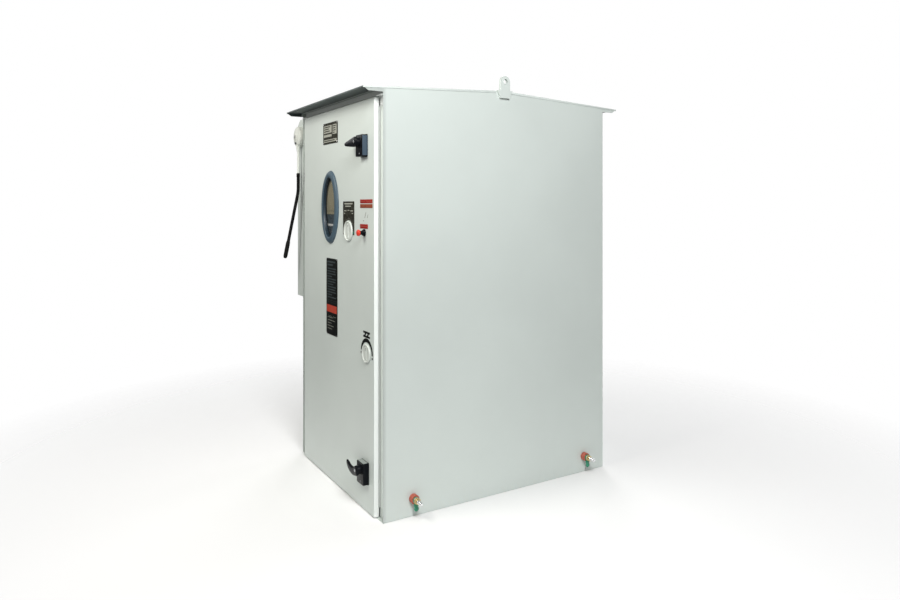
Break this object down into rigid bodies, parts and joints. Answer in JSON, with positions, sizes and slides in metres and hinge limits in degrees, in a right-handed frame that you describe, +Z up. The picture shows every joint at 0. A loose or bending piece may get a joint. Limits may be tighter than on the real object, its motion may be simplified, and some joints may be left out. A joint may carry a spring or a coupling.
{
  "type": "outdoor electrical control cabinet",
  "caption": "Free-standing sheet-steel outdoor switchgear control cabinet: gable rain roof, hinged door with oval window, dials, push button and turn latches, side operating lever.",
  "frame": {"origin": "centre of the cabinet's base, on the underside of the floor pan", "axes": "+Z up; the door faces -Y; +X to the right when facing the door; the side box with the lever is on -X"},
  "size_m": [0.952, 1.1, 1.497],
  "materials": {
    "paint": "semi-gloss light grey-green powder coat",
    "steel": "stainless, satin",
    "zinc": "galvanised, dull",
    "copper": "copper, dull",
    "black_plastic": "moulded black",
    "black_metal": "black printed plate",
    "blue_grey_plastic": "moulded blue-grey",
    "navy_plastic": "moulded dark blue",
    "tan_panel": "olive-tan plate",
    "grey_plastic": "moulded light grey",
    "white_plastic": "moulded or painted off-white",
    "red_plastic": "moulded red",
    "green_plastic": "green insulated",
    "rubber": "black foam rubber",
    "clear": "clear"
  },
  "bodies": {
    "cabinet": {"back_panel": "paint", "circuit_breaker": "grey_plastic", "contactor": "grey_plastic", "din_rail": "zinc", "earth_bar": "copper", "floor_pan": "paint", "front_earth_boss": "copper", "front_earth_clamp": "green_plastic", "front_earth_stud": "steel", "gland_plate": "zinc", "header_rail": "paint", "heater": "zinc", "isolator_switch": "grey_plastic", "left_front_post": "paint", "left_lifting_lug": "paint", "left_mounting_rail": "zinc", "left_side_panel": "paint", "lower_hinge_frame_leaf": "steel", "lower_wiring_duct": "grey_plastic", "mounting_plate": "zinc", "rear_earth_boss": "copper", "rear_earth_clamp": "green_plastic", "rear_earth_stud": "steel", "right_front_post": "paint", "right_lifting_lug": "paint", "right_mounting_rail": "zinc", "right_side_panel": "paint", "roof": "paint", "side_box": "paint", "sill_rail": "paint", "terminal_block": "grey_plastic", "upper_hinge_frame_leaf": "steel", "upper_wiring_duct": "grey_plastic"},
    "door": {"door_panel": "paint", "door_gasket": "rubber", "door_stiffener": "paint", "upper_hinge_door_leaf": "steel", "lower_hinge_door_leaf": "steel", "window_bezel": "blue_grey_plastic", "window_pane": "clear", "display_plate": "tan_panel", "indicator_unit": "navy_plastic", "nameplate": "black_metal", "instruction_plate": "black_metal", "legend_plate": "black_metal", "upper_switch": "grey_plastic", "lower_switch": "grey_plastic", "push_button_collar": "black_plastic", "top_latch_base": "black_plastic", "bottom_latch_base": "black_plastic"},
    "top_latch": {"top_latch_handle": "black_plastic", "top_latch_cam": "steel"},
    "bottom_latch": {"bottom_latch_handle": "black_plastic", "bottom_latch_cam": "steel"},
    "upper_selector": {"upper_dial": "white_plastic"},
    "lower_selector": {"lower_dial": "white_plastic"},
    "push_button": {"push_button_head": "red_plastic"},
    "lever": {"side_lever": "white_plastic", "side_lever_grip": "black_plastic"},
    "breaker_switch": {"breaker_toggle": "black_plastic"}
  },
  "joints": [
    {"name": "door_hinge", "type": "hinge", "parent": "cabinet", "child": "door", "pos_m": [-0.3605, -0.4785, 0.7], "axis": [0, 0, -1], "range_deg": [0, 110]},
    {"name": "top_latch_turn", "type": "hinge", "parent": "door", "child": "top_latch", "pos_m": [0.26, -0.511, 1.2465], "axis": [0, 1, 0], "range_deg": [0, 90]},
    {"name": "bottom_latch_turn", "type": "hinge", "parent": "door", "child": "bottom_latch", "pos_m": [0.27, -0.511, 0.146], "axis": [0, 1, 0], "range_deg": [0, 90]},
    {"name": "upper_selector_turn", "type": "hinge", "parent": "door", "child": "upper_selector", "pos_m": [0.126, -0.49, 0.9417], "axis": [0, -1, 0], "range_deg": [-45, 45]},
    {"name": "lower_selector_turn", "type": "hinge", "parent": "door", "child": "lower_selector", "pos_m": [0.28, -0.49, 0.5345], "axis": [0, -1, 0], "range_deg": [0, 90]},
    {"name": "push_button_press", "type": "slide", "parent": "door", "child": "push_button", "axis": [0, 1, 0], "range_m": [0, 0.006], "stiffness_N_per_m": 800, "springref_m": -0.003},
    {"name": "side_lever_turn", "type": "hinge", "parent": "cabinet", "child": "lever", "pos_m": [-0.451, -0.462, 1.326], "axis": [0, 1, 0], "range_deg": [0, 90]},
    {"name": "breaker_toggle_throw", "type": "hinge", "parent": "cabinet", "child": "breaker_switch", "pos_m": [0, 0.3262, 0.98], "axis": [1, 0, 0], "range_deg": [0, 75]}
  ]
}
